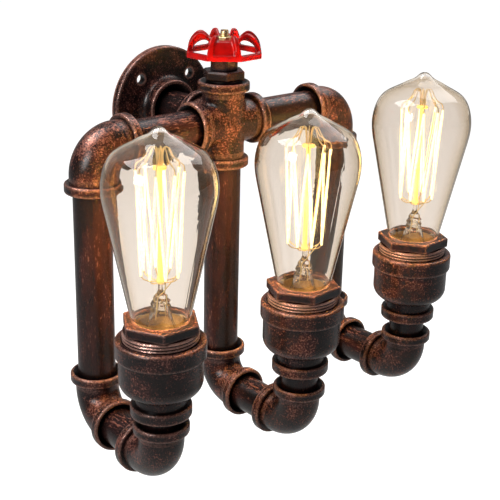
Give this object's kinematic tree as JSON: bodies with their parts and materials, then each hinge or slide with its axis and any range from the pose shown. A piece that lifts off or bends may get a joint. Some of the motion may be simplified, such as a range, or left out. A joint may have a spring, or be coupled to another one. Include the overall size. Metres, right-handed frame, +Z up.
{
  "type": "wall lamp",
  "caption": "Industrial wall lamp of iron pipe: a wall flange and a cross with a valve handwheel carry pipe arms that end in upright screw-in filament bulbs.",
  "frame": {"origin": "centre of the wall flange's back face, on the wall", "axes": "+X to the right seen from the room, +Y into the wall, +Z up"},
  "size_m": [0.2497, 0.1621, 0.2351],
  "materials": {
    "cast_fitting": "near-black brown paint rubbed through to copper red on edges",
    "iron_pipe": "near-black brown paint with brushed copper streaks",
    "red_enamel": "gloss red enamel over casting",
    "brass": "pale machined brass",
    "lead_sleeve": "black sleeve",
    "nylon": "natural moulded nylon",
    "porcelain": "white glaze",
    "cap_brass": "thin pressed brass",
    "black_glass": "black glass",
    "solder": "soft solder",
    "bulb_glass": "clear, faintly amber",
    "stem_glass": "clear",
    "filament": "glowing wire"
  },
  "bodies": {
    "fixture": {"wall_flange": "cast_fitting", "rear_pipe": "iron_pipe", "cross": "cast_fitting", "valve_bonnet": "cast_fitting", "gland_nut": "cast_fitting", "lead_connector": "nylon", "lamp_leads": "lead_sleeve", "holder_contacts": "brass", "left_lower_elbow": "cast_fitting", "left_front_elbow": "cast_fitting", "left_reducer": "cast_fitting", "left_hex_bushing": "cast_fitting", "left_top_elbow": "cast_fitting", "left_drop_pipe": "iron_pipe", "left_arm_pipe": "iron_pipe", "left_riser_pipe": "iron_pipe", "left_top_pipe": "iron_pipe", "left_lamp_holder": "porcelain", "left_screw_shell": "cap_brass", "middle_lower_elbow": "cast_fitting", "middle_front_elbow": "cast_fitting", "middle_reducer": "cast_fitting", "middle_hex_bushing": "cast_fitting", "middle_drop_pipe": "iron_pipe", "middle_arm_pipe": "iron_pipe", "middle_riser_pipe": "iron_pipe", "middle_lamp_holder": "porcelain", "middle_screw_shell": "cap_brass", "right_lower_elbow": "cast_fitting", "right_front_elbow": "cast_fitting", "right_reducer": "cast_fitting", "right_hex_bushing": "cast_fitting", "right_top_elbow": "cast_fitting", "right_drop_pipe": "iron_pipe", "right_arm_pipe": "iron_pipe", "right_riser_pipe": "iron_pipe", "right_top_pipe": "iron_pipe", "right_lamp_holder": "porcelain", "right_screw_shell": "cap_brass"},
    "valve": {"valve_stem": "brass", "handwheel": "red_enamel", "wheel_nut": "brass"},
    "left_tip": {"left_bulb_tip": "solder"},
    "left_bulb": {"left_bulb_cap": "cap_brass", "left_cap_insulator": "black_glass", "left_bulb_glass": "bulb_glass", "left_glass_stem": "stem_glass", "left_wire_cage": "filament"},
    "middle_tip": {"middle_bulb_tip": "solder"},
    "middle_bulb": {"middle_bulb_cap": "cap_brass", "middle_cap_insulator": "black_glass", "middle_bulb_glass": "bulb_glass", "middle_glass_stem": "stem_glass", "middle_wire_cage": "filament"},
    "right_tip": {"right_bulb_tip": "solder"},
    "right_bulb": {"right_bulb_cap": "cap_brass", "right_cap_insulator": "black_glass", "right_bulb_glass": "bulb_glass", "right_glass_stem": "stem_glass", "right_wire_cage": "filament"}
  },
  "joints": [
    {"name": "valve_turn", "type": "hinge", "parent": "fixture", "child": "valve", "pos_m": [0, -0.061, 0], "axis": [0, 0, 1], "continuous": true},
    {"name": "left_bulb_rise", "type": "slide", "parent": "fixture", "child": "left_tip", "axis": [0, 0, 1], "range_m": [0, 0.0182]},
    {"name": "left_bulb_turn", "type": "hinge", "parent": "left_tip", "child": "left_bulb", "pos_m": [-0.09953, -0.13261, 0], "axis": [0, 0, 1], "range_deg": [0, 1800]},
    {"name": "middle_bulb_rise", "type": "slide", "parent": "fixture", "child": "middle_tip", "axis": [0, 0, 1], "range_m": [0, 0.0182]},
    {"name": "middle_bulb_turn", "type": "hinge", "parent": "middle_tip", "child": "middle_bulb", "pos_m": [0, -0.133, 0], "axis": [0, 0, 1], "range_deg": [0, 1800]},
    {"name": "right_bulb_rise", "type": "slide", "parent": "fixture", "child": "right_tip", "axis": [0, 0, 1], "range_m": [0, 0.0182]},
    {"name": "right_bulb_turn", "type": "hinge", "parent": "right_tip", "child": "right_bulb", "pos_m": [0.092, -0.133, 0], "axis": [0, 0, 1], "range_deg": [0, 1800]}
  ],
  "couplings": [
    {"joint": "left_bulb_rise", "follows": "left_bulb_turn", "m_per_rad": 0.00057757},
    {"joint": "middle_bulb_rise", "follows": "middle_bulb_turn", "m_per_rad": 0.00057757},
    {"joint": "right_bulb_rise", "follows": "right_bulb_turn", "m_per_rad": 0.00057757}
  ]
}
